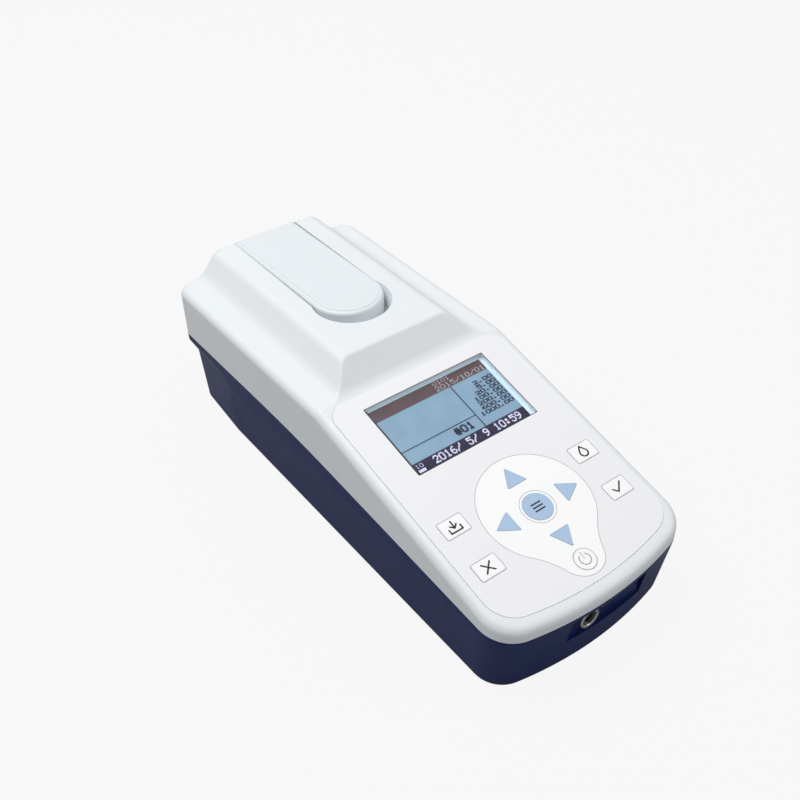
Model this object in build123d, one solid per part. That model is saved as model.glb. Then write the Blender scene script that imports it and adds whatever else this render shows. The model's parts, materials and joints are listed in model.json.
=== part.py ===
from build123d import *
import os
from math import cos, radians, sin, sqrt, tan

# Portable turbidity meter. Millimetres, +Z up, the front with its ports faces -Y.
# The origin lies under the middle of the case, on the surface that the feet stand on.

# Case outline in plan
case_width = 118.0
case_length = 290.0
front_bow_radius = 200.0
front_corner_radius = 18.0
back_corner_radius = 9.0
wall = 2.6
side_draft = 0.9

# Inclined front panel, level shoulders and the hump that carries the lid
panel_angle = 13.0
panel_front_height = 44.8
roof_fall_angle = 0.95
panel_run = 147.0
hump_start = 2.0
hump_front_angle = 47.0
hump_rise = 13.6
hump_shoulder = 15.0
hump_flank_angle = 40.0
hump_foot_radius = 12.0
hump_top_radius = 8.0
hump_front_foot_radius = 10.0
mitre_radius = 2.6
top_edge_radius = 4.5

# Line where the two case halves meet
parting_front_height = 38.6
parting_rise_angle = 3.46
parting_fall_angle = 0.9
parting_run = 170.5
parting_blend_radius = 900.0

# Lower case
base_side_inset = 1.9
base_front_inset = 5.2
base_back_inset = 7.0
base_edge_radius = 3.5
grip_length = 50.0
grip_inset = 3.0
grip_back_inset = 5.0
grip_low_z = 37.5
grip_high_z = 43.0
foot_drop = 1.0
foot_diameter = 12.0
foot_sink = 1.2
foot_edge = 0.6
foot_side_inset = 17.0
foot_front_inset = 27.0
foot_back_inset = 41.0

# Port recess in the front of the lower case
port_left_x = -22.0
port_right_x = 26.0
port_low_z = 20.4
port_high_z = 36.2
port_depth = 5.0
port_wall = 3.0
port_z = 26.9
jack_x = -8.0
jack_bore = 5.6
jack_sleeve_wall = 1.2
jack_nut_diameter = 11.6
jack_nut_height = 1.8
jack_body_diameter = 11.0
jack_body_length = 12.0
jack_back_wall = 2.0
jack_sleeve_proud = 0.6
jack_pin_diameter = 2.0
jack_pin_set_back = 1.5
jack_leaf_set_back = 0.5
jack_leaf_thickness = 0.3
jack_leaf_half_height = 2.4
nut_edge = 0.35
usb_x = 5.5
usb_width = 7.6
usb_height = 3.8
usb_length = 9.0
usb_shell = 0.4
usb_set_back = 0.2
usb_corner = 1.0
usb_tongue_half_width = 2.2
usb_tongue_thickness = 0.8
usb_tongue_set_back = 1.0
light_pipe_x = -16.6
light_pipe_diameter = 2.4
light_pipe_set_back = 0.3
light_pipe_tail = 1.5
port_surround = 4.0
port_clearance = 0.1

# Fits and fasteners
seat_gap = 0.15
pin_clearance = 0.06
screw_diameter = 3.0
screw_head_diameter = 5.6
screw_head_height = 2.2
screw_hole_gap = 0.2
head_hole_gap = 0.3
post_diameter = 8.5
post_front_inset = (9.5, 37.0)
post_back_inset = (13.5, 19.0)
post_screw_depth = 7.0
case_head_depth = 4.0
small_screw_diameter = 2.0
small_head_diameter = 4.0
small_head_height = 1.4
board_screw_length = 9.0
optics_screw_length = 10.0
screw_tip_gap = 0.2

# Gasket in the rim of the lower case
gasket_inset = 0.9
gasket_width = 1.0
gasket_depth = 1.0

# Membrane panel, measured along the slope from the front edge of the panel
overlay_side_margin = 5.2
overlay_front = 7.0
overlay_back = 149.6
overlay_front_corner = 16.0
overlay_back_corner = 9.5
overlay_bow_radius = 190.0
overlay_thickness = 1.0
overlay_proud = 0.2

# Display
display_width = 74.2
display_height = 45.0
display_v = 118.1
window_rim = 3.0
window_thickness = 1.0
opening_rim = 0.8
glass_rim = 2.5
glass_thickness = 2.0
backlight_thickness = 3.0
frame_wall = 1.5
display_board_thickness = 1.6
display_board_side = 10.0
display_board_end = 5.0
display_post_spread = 20.0

# Keys
arrow_centre_v = 52.0
arrow_inner = 14.9
arrow_height = 10.4
arrow_half_base = 5.8
menu_radius = 7.5
power_v = 18.6
power_radius = 5.8
side_key_inset = 18.3
side_key_front_v = 39.4
side_key_back_v = 64.5
side_key_width = 13.9
side_key_height = 10.0
side_key_corner = 1.0
key_thickness = 1.1
key_proud = 0.35
key_travel = 0.4
key_gap = 0.15
plunger_diameter = 4.0
plunger_hole_gap = 0.5
dome_diameter = 6.0
dome_height = 0.8
keypad_drop = 5.6
keypad_board_thickness = 1.6
keypad_side_inset = 14.4
keypad_front_v = 10.0
keypad_back_v = 74.0
boss_diameter = 5.6
boss_root = 0.3
keypad_corner = 5.0
keypad_post_x = 36.0
keypad_post_front = 4.0
keypad_post_back = 3.0
arrow_corner = 0.6

# Lid over the sample well, measured along the top of the hump
lid_half_width = 19.6
lid_back_inset = 1.6
lid_proud = 2.3
lid_lean = 1.0
lid_depth = 8.2
lid_wall = 2.2
lid_edge_radius = 1.8
lid_rebate_inset = 2.4
lid_rebate_depth = 0.25
pocket_gap = 0.6
pocket_floor_gap = 0.8
tray_wall = 2.4
tray_floor = 3.2
finger_forward = 4.5
finger_radius = 21.5
finger_floor_radius = 18.6
finger_depth = 8.6
hinge_back = 5.4
hinge_drop = 2.6
hinge_pin_diameter = 3.0
hinge_pin_seat = 2.4
hinge_swing_gap = 0.5

# Sample well and optics
well_back = 55.0
well_diameter = 25.8
well_wall = 1.8
well_floor_z = 16.0
well_foot = 2.0
collar_diameter = 33.0
collar_thickness = 1.6
collar_drop = 0.4
collar_edge = 0.5
rib_reach = 34.0
rib_half_thickness = 0.8
rib_height = 5.0
seal_thickness = 0.6
seal_width = 2.4
block_half = 28.0
block_corner = 2.0
block_flange_reach = 8.5
block_flange_half_depth = 22.0
block_flange_thickness = 4.0
block_post_reach = 4.5
block_post_spread = 18.0
block_low_z = 10.0
block_high_z = 62.0
beam_z = 34.0
beam_window_diameter = 6.0
lamp_diameter = 5.0
lamp_length = 8.0
lamp_holder_diameter = 11.0
lens_diameter = 8.0
lens_thickness = 2.4
lamp_overlap = 1.0
lamp_flange = 2.0
lamp_tip_flat = 0.2
detector_diameter = 8.0
detector_length = 10.0
optics_board_thickness = 1.6
optics_board_half_width = 20.0
optics_board_below = 14.0
optics_board_above = 18.0
spring_thickness = 0.4
spring_width = 4.0
spring_length = 30.0
spring_above_beam = 8.0

# Main board and power
board_thickness = 1.6
board_top_z = 25.0
board_half_width = 41.0
board_front_inset = 13.0
board_back_gap = 20.0
standoff_diameter = 6.5
standoff_side_inset = 5.0
standoff_front_inset = 8.0
standoff_back_inset = 6.0
cell_diameter = 14.5
cell_length = 50.5
cell_count = 4
cell_pitch = 15.2
cell_tip_diameter = 5.2
cell_tip_length = 1.2
cell_door_gap = 0.4
bay_run = 85.0
bay_wall = 1.8
bay_end_space = 3.4
bay_side_space = 0.6
bay_height = 16.4
door_thickness = 1.6
door_tongue = 9.5
door_ledge = 2.4
door_gap = 0.3
door_corner = 2.0
door_head_depth = 0.8
door_head_height = 0.7
door_boss_height = 9.0
contact_thickness = 0.5
contact_height = 10.0
contact_width = 9.0
spring_base_radius = 3.4
spring_tip_radius = 1.8
spring_tip_gap = 0.1
board_notch_gap = 1.5
link_width = 18.0
link_depth = 5.0
link_height = 5.0
ribbon_width = 14.0
ribbon_thickness = 0.6
ribbon_end_gap = 0.3

rest_half = case_length / 2
side_half = case_width / 2
# How far a cutter runs out past the face it opens.
past = 5.0
ridge_y = -rest_half + panel_run
hump_foot_y = ridge_y + hump_start
hump_foot_half_width = side_half - hump_shoulder
parting_knee_y = -rest_half + parting_run
grip_start_y = rest_half - grip_length
well_y = hump_foot_y + well_back
lid_back_y = rest_half - lid_back_inset
finger_centre_y = well_y - finger_forward
overlay_half_width = side_half - overlay_side_margin
side_key_x = side_half - side_key_inset
keypad_half_width = side_half - keypad_side_inset
board_front_y = -rest_half + board_front_inset
board_back_y = ridge_y - board_back_gap
bay_centre_y = -rest_half + bay_run
panel_slope = tan(radians(panel_angle))
roof_slope = tan(radians(roof_fall_angle))
panel_frame = Plane(
    origin=(0, -rest_half, panel_front_height),
    x_dir=(1, 0, 0),
    z_dir=(0, -sin(radians(panel_angle)), cos(radians(panel_angle))),
).location


def shoulder_z(y):
    ridge_z = panel_front_height + panel_slope * (ridge_y + rest_half)
    return ridge_z - roof_slope * (y - ridge_y)


def hump_z(y):
    return shoulder_z(y) + hump_rise


hump_frame = Plane(
    origin=(0, well_y, hump_z(well_y)),
    x_dir=(1, 0, 0),
    z_dir=(0, sin(radians(roof_fall_angle)), cos(radians(roof_fall_angle))),
).location


def rounded_face(points, radii):
    face = make_face(Polyline(*points, close=True))
    for point, radius in zip(points, radii):
        if radius > 0:
            corner = face.vertices().sort_by_distance(Vector(*point))[0]
            face = fillet(corner, radius)
    return face


def side_prism(points, radii, half_width):
    face = Plane.YZ.location * rounded_face(points, radii)
    return extrude(face, amount=half_width, both=True)


def port_rod(radius, x, start, end):
    return rod(radius, (x, start, port_z), (x, end, port_z))


def beam_rod(radius, start, end):
    return rod(radius, (start, well_y, beam_z), (end, well_y, beam_z))


def box_between(x, y, z):
    size = (x[1] - x[0], y[1] - y[0], z[1] - z[0])
    centre = Pos((x[0] + x[1]) / 2, (y[0] + y[1]) / 2, (z[0] + z[1]) / 2)
    return centre * Box(*size)


def rod(radius, start, end):
    span = Vector(*end) - Vector(*start)
    base = Plane(origin=start, z_dir=(span.X, span.Y, span.Z)).location
    return base * Cylinder(radius, span.length, align=(Align.CENTER, Align.CENTER, Align.MIN))


def plan_outline(inset, front_inset, back_inset, tail_inset):
    # Bowed front, straight sides that may draw in towards the back, and rounded corners.
    half = side_half - inset
    tail = half - tail_inset
    front = -rest_half + front_inset
    back = rest_half - back_inset
    bow = front_bow_radius - inset
    side_y = front + bow - sqrt(bow**2 - half**2)
    edges = [
        ThreePointArc((half, side_y), (0, front), (-half, side_y)),
        Line((-half, side_y), (-half, grip_start_y)),
        Line((-half, grip_start_y), (-tail, back)),
        Line((-tail, back), (tail, back)),
        Line((tail, back), (half, grip_start_y)),
        Line((half, grip_start_y), (half, side_y)),
    ]
    face = make_face(edges)
    corners = face.vertices().sort_by(Axis.Y)
    face = fillet(corners[:2], front_corner_radius - inset)
    corners = face.vertices().sort_by(Axis.Y)
    return fillet(corners[-2:], back_corner_radius - inset)


def plan_loft(low_z, low, high_z, high):
    sections = [Pos(0, 0, low_z) * plan_outline(*low), Pos(0, 0, high_z) * plan_outline(*high)]
    return loft(sections, ruled=True)


def parting_height(y):
    knee_z = parting_front_height + tan(radians(parting_rise_angle)) * (parting_knee_y + rest_half)
    if y < parting_knee_y:
        return knee_z - tan(radians(parting_rise_angle)) * (parting_knee_y - y)
    return knee_z - tan(radians(parting_fall_angle)) * (y - parting_knee_y)


def below_parting(lift):
    # Everything under the line between the two halves, which rises, turns over and falls.
    ends = rest_half + 20
    points = [
        (-ends, -20),
        (ends, -20),
        (ends, parting_height(ends) + lift),
        (parting_knee_y, parting_height(parting_knee_y) + lift),
        (-ends, parting_height(-ends) + lift),
    ]
    return side_prism(points, [0, 0, 0, parting_blend_radius, 0], side_half + 10)


def roof_sections(skin):
    # The roof lies under two profiles at once: one seen from the side, one along the case.
    ends = rest_half + 20
    drop_panel = skin / cos(radians(panel_angle))
    mean_angle = radians((hump_front_angle + panel_angle) / 2)
    half_turn = radians((hump_front_angle - panel_angle) / 2)
    foot_y = hump_foot_y + skin * sin(mean_angle) / cos(half_turn)
    foot_z = panel_front_height + panel_slope * (foot_y + rest_half) - drop_panel
    top_z = 1.4 * hump_z(0)
    top_y = foot_y + (top_z - foot_z) / tan(radians(hump_front_angle))
    start_z = foot_z - panel_slope * (foot_y + ends)
    side = side_prism(
        [(-ends, 0), (-ends, start_z), (foot_y, foot_z), (top_y, top_z), (ends, top_z), (ends, 0)],
        [0, 0, hump_front_foot_radius + skin, 0, 0, 0],
        side_half + 10,
    )
    low = shoulder_z(-ends) - skin
    high = low + hump_rise
    flank = radians(90 - hump_flank_angle)
    foot_x = hump_foot_half_width - skin * tan(flank / 2)
    top_x = foot_x - hump_rise / tan(flank)
    edge_x = side_half + 10
    profile = [(edge_x, 0), (edge_x, low), (foot_x, low), (top_x, high)]
    mirrored = [(-x, z) for x, z in reversed(profile)]
    radii = [0, 0, hump_foot_radius + skin, hump_top_radius - skin]
    face = rounded_face(profile + mirrored, radii + list(reversed(radii)))
    face = Pos(0, -ends, 0) * Plane.XZ.location * face
    fall = radians(roof_fall_angle)
    along = extrude(face, amount=2 * ends / cos(fall), dir=(0, cos(fall), -sin(fall)))
    return side, along


def upper_outside():
    low_z = parting_front_height - 12
    high_z = 1.3 * hump_z(0)
    walls = plan_loft(low_z, (0, 0, 0, 0), high_z, (side_draft, side_draft, side_draft, 0))
    side, along = roof_sections(0)
    roof = side & along
    roof = fillet([e for e in roof.edges() if in_mitre(e)], mitre_radius)
    body = walls & roof
    return fillet(top_rim(body, low_z), top_edge_radius) - below_parting(0)


def in_mitre(edge):
    # The fold where the two roof profiles meet, from one shoulder over the hump to the other.
    middle = edge.position_at(0.5)
    runs_across = abs(edge.tangent_at(0.5).X) > 0.02
    near_hump_front = abs(middle.Y - hump_foot_y) < 30
    return runs_across and near_hump_front and middle.Z > shoulder_z(0) - 4 and abs(middle.X) < side_half + 9


def top_rim(body, low_z):
    # Edges that one wall face shares with the roof.
    seen = {}
    for face in body.faces():
        if abs(face.normal_at().Z) < 0.05:
            for edge in face.edges():
                key = tuple(round(value, 2) for value in edge.position_at(0.5))
                seen.setdefault(key, []).append(edge)
    single = [edges[0] for edges in seen.values() if len(edges) == 1]
    return [edge for edge in single if edge.position_at(0.5).Z > low_z + 2]


def upper_cavity():
    low_z = parting_front_height - 14
    side, along = roof_sections(wall)
    inset = wall + side_draft
    walls = plan_loft(low_z, (wall, wall, wall, 0), 1.3 * hump_z(0), (inset, inset, inset, 0))
    return walls & side & along


def stadium(half, tail):
    # Round nose at the local origin, straight sides back to the tail.
    nose = Circle(half)
    body = Pos(0, tail / 2) * Rectangle(2 * half, tail)
    return make_face((nose + body).face().outer_wire())


def lid_prism(half, tail, low, high):
    return hump_frame * (Pos(0, 0, low) * extrude(stadium(half, tail), amount=high - low))


def leaning_prism(half, tail, low, high):
    # The lid falls towards the hinge against the hump, from its nose.
    nose = Pos(0, -lid_half_width, 0) * Rot(-lid_lean, 0, 0) * Pos(0, lid_half_width, 0)
    return hump_frame * nose * (Pos(0, 0, low) * extrude(stadium(half, tail), amount=high - low))


def panel_prism(face, low, high):
    return panel_frame * (Pos(0, 0, low) * extrude(face, amount=high - low))


def panel_rod(x, v, radius, low, high):
    return panel_prism(Pos(x, v) * Circle(radius), low, high)


def overlay_face(grow):
    half = overlay_half_width + grow
    front = overlay_front - grow
    bow = overlay_bow_radius + grow
    side_v = front + bow - sqrt(bow**2 - half**2)
    back = overlay_back + grow
    edges = [
        ThreePointArc((half, side_v), (0, front), (-half, side_v)),
        Line((-half, side_v), (-half, back)),
        Line((-half, back), (half, back)),
        Line((half, back), (half, side_v)),
    ]
    face = make_face(edges)
    face = fillet(face.vertices().sort_by(Axis.Y)[:2], overlay_front_corner + grow)
    return fillet(face.vertices().sort_by(Axis.Y)[-2:], overlay_back_corner + grow)


def arrow_face(turn, grow):
    inner = arrow_inner - grow
    outer = arrow_inner + arrow_height + 2 * grow
    base = arrow_half_base + 1.5 * grow
    points = [(-base, inner), (base, inner), (0, outer)]
    return Pos(0, arrow_centre_v) * Rot(0, 0, turn) * rounded_face(points, [arrow_corner] * 3)


def side_key_face(x, v, grow):
    size = (side_key_width + 2 * grow, side_key_height + 2 * grow)
    return Pos(x, v) * RectangleRounded(*size, side_key_corner + grow)


def key_list(grow):
    # Name, face and centre of each key on the panel.
    centre = arrow_inner + arrow_height / 3
    keys = [
        ("key_up", arrow_face(0, grow), (0, arrow_centre_v + centre)),
        ("key_left", arrow_face(90, grow), (-centre, arrow_centre_v)),
        ("key_down", arrow_face(180, grow), (0, arrow_centre_v - centre)),
        ("key_right", arrow_face(270, grow), (centre, arrow_centre_v)),
        ("key_menu", Pos(0, arrow_centre_v) * Circle(menu_radius + grow), (0, arrow_centre_v)),
        ("key_power", Pos(0, power_v) * Circle(power_radius + grow), (0, power_v)),
    ]
    sides = [
        ("key_save", -side_key_x, side_key_back_v),
        ("key_cancel", -side_key_x, side_key_front_v),
        ("key_measure", side_key_x, side_key_back_v),
        ("key_confirm", side_key_x, side_key_front_v),
    ]
    return keys + [(name, side_key_face(x, v, grow), (x, v)) for name, x, v in sides]


def display_face(side, end):
    size = (display_width + 2 * side, display_height + 2 * end)
    return Pos(0, display_v) * Rectangle(*size)


overlay_low = overlay_proud - overlay_thickness
window_low = overlay_low - window_thickness
plunger_low = dome_height + plunger_hole_gap - keypad_drop
glass_low = -wall - glass_thickness
backlight_low = glass_low - backlight_thickness
display_board_low = backlight_low - display_board_thickness
keypad_post_vs = (keypad_front_v + keypad_post_front, keypad_back_v - keypad_post_back)
keypad_posts = [(x, v) for x in (-keypad_post_x, keypad_post_x) for v in keypad_post_vs]
display_post_x = display_width / 2 + glass_rim + frame_wall + boss_diameter / 2 + boss_root
display_post_vs = (display_v - display_post_spread, display_v + display_post_spread)
display_posts = [(x, v) for x in (-display_post_x, display_post_x) for v in display_post_vs]
pocket_low = -lid_depth - pocket_floor_gap
tray_low = pocket_low - tray_floor
lid_tail = (lid_back_y - well_y) / cos(radians(roof_fall_angle))
hinge_y = lid_back_y - hinge_back
hinge_z = hump_z(hinge_y) - hinge_drop
collar_top_z = hump_z(well_y) + pocket_low - collar_drop
collar_low_z = collar_top_z - collar_thickness
well_outer = well_diameter / 2 + well_wall
post_front = (side_half - post_front_inset[0], -rest_half + post_front_inset[1])
post_back = (side_half - post_back_inset[0], rest_half - post_back_inset[1])
case_posts = [(s * x, y) for x, y in (post_front, post_back) for s in (-1, 1)]
tray_half = lid_half_width + pocket_gap + tray_wall
finger_v = (finger_centre_y - well_y) / cos(radians(roof_fall_angle))


def finger_cone(grow, low):
    # A bowl with a sloping wall, wider at the top of the hump.
    lean = (finger_radius - finger_floor_radius) / finger_depth
    height = 12 - low
    bottom = finger_floor_radius + grow - lean * (low + finger_depth)
    cone = Cone(bottom, bottom + lean * height, height, align=(Align.CENTER, Align.CENTER, Align.MIN))
    return hump_frame * (Pos(0, finger_v, low) * cone)


def upper_case():
    outside = upper_outside()
    shell = outside - upper_cavity()
    tail = lid_tail + 20
    tray = lid_prism(tray_half, tail, tray_low, 6) + finger_cone(tray_wall, -finger_depth - tray_wall)
    shell += tray & outside
    posts = [rod(post_diameter / 2, (x, y, 20), (x, y, shoulder_z(y))) for x, y in case_posts]
    for post in posts:
        shell += post & outside
    for x, v in keypad_posts:
        shell += panel_rod(x, v, boss_diameter / 2, -keypad_drop, -wall + boss_root)
    for x, v in display_posts:
        shell += panel_rod(x, v, boss_diameter / 2, backlight_low, -wall + boss_root)
    half = lid_half_width + pocket_gap
    shell -= lid_prism(half, tail, pocket_low, 20)
    shell -= finger_cone(0, -finger_depth)
    shell -= rod(well_outer + seat_gap, (0, well_y, 40), (0, well_y, 100))
    shell -= rod(collar_diameter / 2 + seat_gap, (0, well_y, collar_low_z), (0, well_y, 100))
    seat = half + hinge_pin_seat
    shell -= rod(hinge_pin_diameter / 2, (-seat, hinge_y, hinge_z), (seat, hinge_y, hinge_z))
    shell -= panel_prism(overlay_face(seat_gap), overlay_low, 12)
    shell -= panel_prism(display_face(window_rim + seat_gap, window_rim + seat_gap), window_low, 0)
    shell -= panel_prism(display_face(opening_rim, opening_rim), -wall - 1, 0)
    for _, face, centre in key_list(key_gap):
        shell -= panel_prism(face, key_proud - key_thickness - key_travel - 0.1, 0)
        shell -= panel_rod(*centre, (plunger_diameter + plunger_hole_gap) / 2, -wall - 1, 0)
    for x, y in case_posts:
        low = parting_height(y)
        shell -= rod(screw_diameter / 2, (x, y, low - 4), (x, y, low + post_screw_depth + 1))
    for x, v in keypad_posts:
        shell -= panel_rod(x, v, small_screw_diameter / 2, -keypad_drop - 1, -wall)
    for x, v in display_posts:
        shell -= panel_rod(x, v, small_screw_diameter / 2, backlight_low - 1, -wall)
    return shell


def lower_form(skin):
    # Drafted body, a slanted grip step that fades out forwards, and the full rim.
    def insets(side, front, back, tail):
        return (side + skin, front + skin, back + skin, tail)

    base = insets(base_side_inset, base_front_inset, base_back_inset, grip_inset)
    low = insets(0.1, 0.1, grip_back_inset, grip_inset)
    high = insets(0.15, 0.15, 0.15, 0)
    top = insets(0.25, 0.25, 0.25, 0)
    form = plan_loft(skin, base, grip_low_z, low)
    form += plan_loft(grip_low_z, low, grip_high_z, high)
    return form + plan_loft(grip_high_z, high, parting_height(parting_knee_y) + 8, top)


def bay_box(grow, low, high):
    half_x = cell_length / 2 + bay_end_space + grow
    half_y = cell_count * cell_pitch / 2 + bay_side_space + grow
    y = (bay_centre_y - half_y, bay_centre_y + half_y)
    return box_between((-half_x, half_x), y, (low, high))


def door_box(grow, low, high):
    half_x = cell_length / 2 + bay_end_space + door_ledge + grow
    half_y = cell_count * cell_pitch / 2 + bay_side_space + grow
    y = (bay_centre_y - half_y - door_tongue, bay_centre_y + half_y + door_ledge)
    return box_between((-half_x, half_x), y, (low, high))


door_screw_y = bay_centre_y - cell_count * cell_pitch / 2 - bay_side_space - door_tongue / 2 - 0.4
block_post_x = block_half + block_post_reach
block_posts = [(s * block_post_x, well_y + t * block_post_spread) for s in (-1, 1) for t in (-1, 1)]
standoff_x = board_half_width - standoff_side_inset
standoff_ys = (board_front_y + standoff_front_inset, board_back_y - standoff_back_inset)
standoffs = [(s * standoff_x, y) for s in (-1, 1) for y in standoff_ys]
board_low_z = board_top_z - board_thickness
recess_y = -rest_half + port_depth
jack_sleeve_radius = jack_bore / 2 + jack_sleeve_wall
port_back_y = recess_y + port_wall


def lower_case():
    outside = lower_form(0)
    outside = fillet(outside.edges().group_by(Axis.Z)[0], base_edge_radius)
    inside = lower_form(wall)
    limit = below_parting(0)
    shell = outside - inside
    surround = (port_left_x - port_surround, port_right_x + port_surround)
    added = box_between(surround, (-rest_half - past, port_back_y), (port_low_z - port_surround, 60))
    added += bay_box(bay_wall, 1, wall + bay_height + bay_wall)
    boss_x = screw_diameter / 2 + bay_wall
    added += rod(boss_x, (0, door_screw_y, 1), (0, door_screw_y, wall + door_boss_height))
    for x, y in case_posts:
        added += rod(post_diameter / 2, (x, y, 1), (x, y, 60))
    for x, y in standoffs:
        added += rod(standoff_diameter / 2, (x, y, 1), (x, y, board_low_z))
    for x, y in block_posts:
        added += rod(standoff_diameter / 2, (x, y, 1), (x, y, block_low_z))
    for y in (well_y - rib_reach, well_y + rib_reach):
        thickness = (y - rib_half_thickness, y + rib_half_thickness)
        added += box_between((-side_half, side_half), thickness, (1, wall + rib_height))
    shell += added & outside
    shell = shell & limit
    ring = plan_ring(gasket_inset, gasket_width)
    shell -= ring - below_parting(-gasket_depth)
    through = (-rest_half, port_back_y + past)
    width = (port_left_x, port_right_x)
    shell -= box_between(width, (-rest_half - past, recess_y), (port_low_z, port_high_z))
    shell -= port_rod(jack_sleeve_radius + port_clearance, jack_x, *through)
    usb_half = usb_width / 2 + port_clearance
    usb_z = usb_height / 2 + port_clearance
    shell -= box_between((usb_x - usb_half, usb_x + usb_half), through, (port_z - usb_z, port_z + usb_z))
    shell -= port_rod(light_pipe_diameter / 2, light_pipe_x, *through)
    shell -= bay_box(0, -1, wall + bay_height)
    shell -= door_box(door_gap, -1, door_thickness)
    shell -= rod(screw_diameter / 2, (0, door_screw_y, -1), (0, door_screw_y, wall + 8))
    for x, y in case_posts:
        shell -= rod(screw_diameter / 2 + screw_hole_gap, (x, y, -1), (x, y, 60))
        shell -= rod(screw_head_diameter / 2 + head_hole_gap, (x, y, -1), (x, y, case_head_depth))
    for x, y in standoffs:
        shell -= rod(small_screw_diameter / 2, (x, y, wall + 4), (x, y, board_top_z))
    for x, y in block_posts:
        shell -= rod(screw_diameter / 2, (x, y, wall), (x, y, 30))
    for x, y in foot_places():
        shell -= rod(foot_diameter / 2, (x, y, -1), (x, y, foot_sink))
    return shell


def plan_ring(inset, width):
    outer = plan_loft(20, (inset, inset, inset, 0), 60, (inset + 0.2, inset + 0.2, inset + 0.2, 0))
    far = inset + width
    inner = plan_loft(20, (far, far, far, 0), 60, (far + 0.2, far + 0.2, far + 0.2, 0))
    return outer - inner


def foot_places():
    foot_x = side_half - foot_side_inset
    ys = (-rest_half + foot_front_inset, rest_half - foot_back_inset)
    return [(s * foot_x, y) for s in (-1, 1) for y in ys]


def case_gasket():
    return (plan_ring(gasket_inset, gasket_width) & below_parting(0)) - below_parting(-gasket_depth)


def sample_lid():
    low = -lid_depth - past
    body = leaning_prism(lid_half_width, lid_tail, low, lid_proud - lid_rebate_depth)
    body = fillet(body.faces().sort_by(Axis.Z)[-1].edges(), lid_edge_radius)
    body += leaning_prism(lid_half_width - lid_rebate_inset, lid_tail - lid_edge_radius, 0, lid_proud)
    hollow_tail = lid_tail - 2 * hinge_back - lid_wall
    body -= leaning_prism(lid_half_width - lid_wall, hollow_tail, low - past, lid_proud - lid_wall)
    cap = Circle(collar_diameter / 2) - Circle(collar_diameter / 2 - lid_wall)
    cap_height = lid_depth + lid_proud - lid_wall
    body += hump_frame * (Pos(0, 0, -lid_depth) * extrude(cap, amount=cap_height))
    body &= lid_prism(lid_half_width + past, lid_tail + past, -lid_depth, past)
    turn = hinge_back + hinge_swing_gap
    edge_x = lid_half_width + past
    behind = box_between((-edge_x, edge_x), (hinge_y, hinge_y + 20), (hinge_z - 20, hinge_z))
    behind -= rod(turn, (-edge_x, hinge_y, hinge_z), (edge_x, hinge_y, hinge_z))
    body -= behind
    bore = hinge_pin_diameter / 2 + pin_clearance
    return body - rod(bore, (-edge_x, hinge_y, hinge_z), (edge_x, hinge_y, hinge_z))


def lid_hinge_pin():
    half = lid_half_width + pocket_gap + hinge_pin_seat
    return rod(hinge_pin_diameter / 2, (-half, hinge_y, hinge_z), (half, hinge_y, hinge_z))


def lid_light_seal():
    outer = collar_diameter / 2
    ring = Circle(outer) - Circle(outer - seal_width)
    return hump_frame * (Pos(0, 0, -lid_depth - seal_thickness) * extrude(ring, amount=seal_thickness))


def panel_overlay():
    sheet = panel_prism(overlay_face(0), overlay_low, overlay_proud)
    sheet -= panel_prism(display_face(0, 0), overlay_low - 1, overlay_proud + 1)
    for _, face, _ in key_list(key_gap):
        sheet -= panel_prism(face, overlay_low - 1, overlay_proud + 1)
    return sheet


def key_solid(face, centre):
    low = key_proud - key_thickness
    key = panel_prism(face, low, key_proud)
    return key + panel_rod(*centre, plunger_diameter / 2, plunger_low, low)


def keypad_board():
    height = keypad_back_v - keypad_front_v
    size = (2 * keypad_half_width, height)
    face = Pos(0, keypad_front_v + height / 2) * RectangleRounded(*size, keypad_corner)
    board = panel_prism(face, -keypad_drop - keypad_board_thickness, -keypad_drop)
    for x, v in keypad_posts:
        board -= panel_rod(x, v, small_screw_diameter / 2, -20, 0)
    return board


def keypad_domes():
    domes = []
    for _, _, (x, v) in key_list(0):
        seat = (Align.CENTER, Align.CENTER, Align.MIN)
        cap = Cone(dome_diameter / 2, dome_diameter / 3, dome_height, align=seat)
        domes.append(panel_frame * (Pos(x, v, -keypad_drop) * cap))
    return Compound(domes)


def display_window():
    return panel_prism(display_face(window_rim, window_rim), window_low, overlay_low)


def display_frame():
    rim = glass_rim + frame_wall
    ring = display_face(rim, rim) - display_face(glass_rim, glass_rim)
    return panel_prism(ring, backlight_low, -wall)


def display_glass():
    return panel_prism(display_face(glass_rim, glass_rim), glass_low, -wall)


def display_backlight():
    return panel_prism(display_face(glass_rim, glass_rim), backlight_low, glass_low)


def display_board():
    board = panel_prism(display_face(display_board_side, display_board_end), display_board_low, backlight_low)
    for x, v in display_posts:
        board -= panel_rod(x, v, small_screw_diameter / 2, -30, 0)
    return board


def link_connectors():
    # One socket stands on the main board, the other hangs from the display board above it.
    link_y = display_v * cos(radians(panel_angle)) - rest_half
    depth = (link_y - link_depth / 2, link_y + link_depth / 2)
    width = (-link_width / 2, link_width / 2)
    lower = box_between(width, depth, (board_top_z, board_top_z + link_height))
    face = Pos(0, display_v) * Rectangle(link_width, link_depth)
    upper = panel_prism(face, display_board_low - link_height, display_board_low)
    return Compound([lower, upper])


def link_ribbon():
    link_y = display_v * cos(radians(panel_angle)) - rest_half
    depth = display_board_low - link_height
    high = panel_front_height + display_v * sin(radians(panel_angle)) + depth * cos(radians(panel_angle))
    shift = -depth * sin(radians(panel_angle))
    low = board_top_z + link_height
    slack = ribbon_thickness * tan(radians(panel_angle))
    points = [
        (link_y, low),
        (link_y + ribbon_thickness, low),
        (link_y + shift + ribbon_thickness, high - ribbon_end_gap + slack),
        (link_y + shift, high - ribbon_end_gap),
    ]
    return side_prism(points, [0, 0, 0, 0], ribbon_width / 2)


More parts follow.
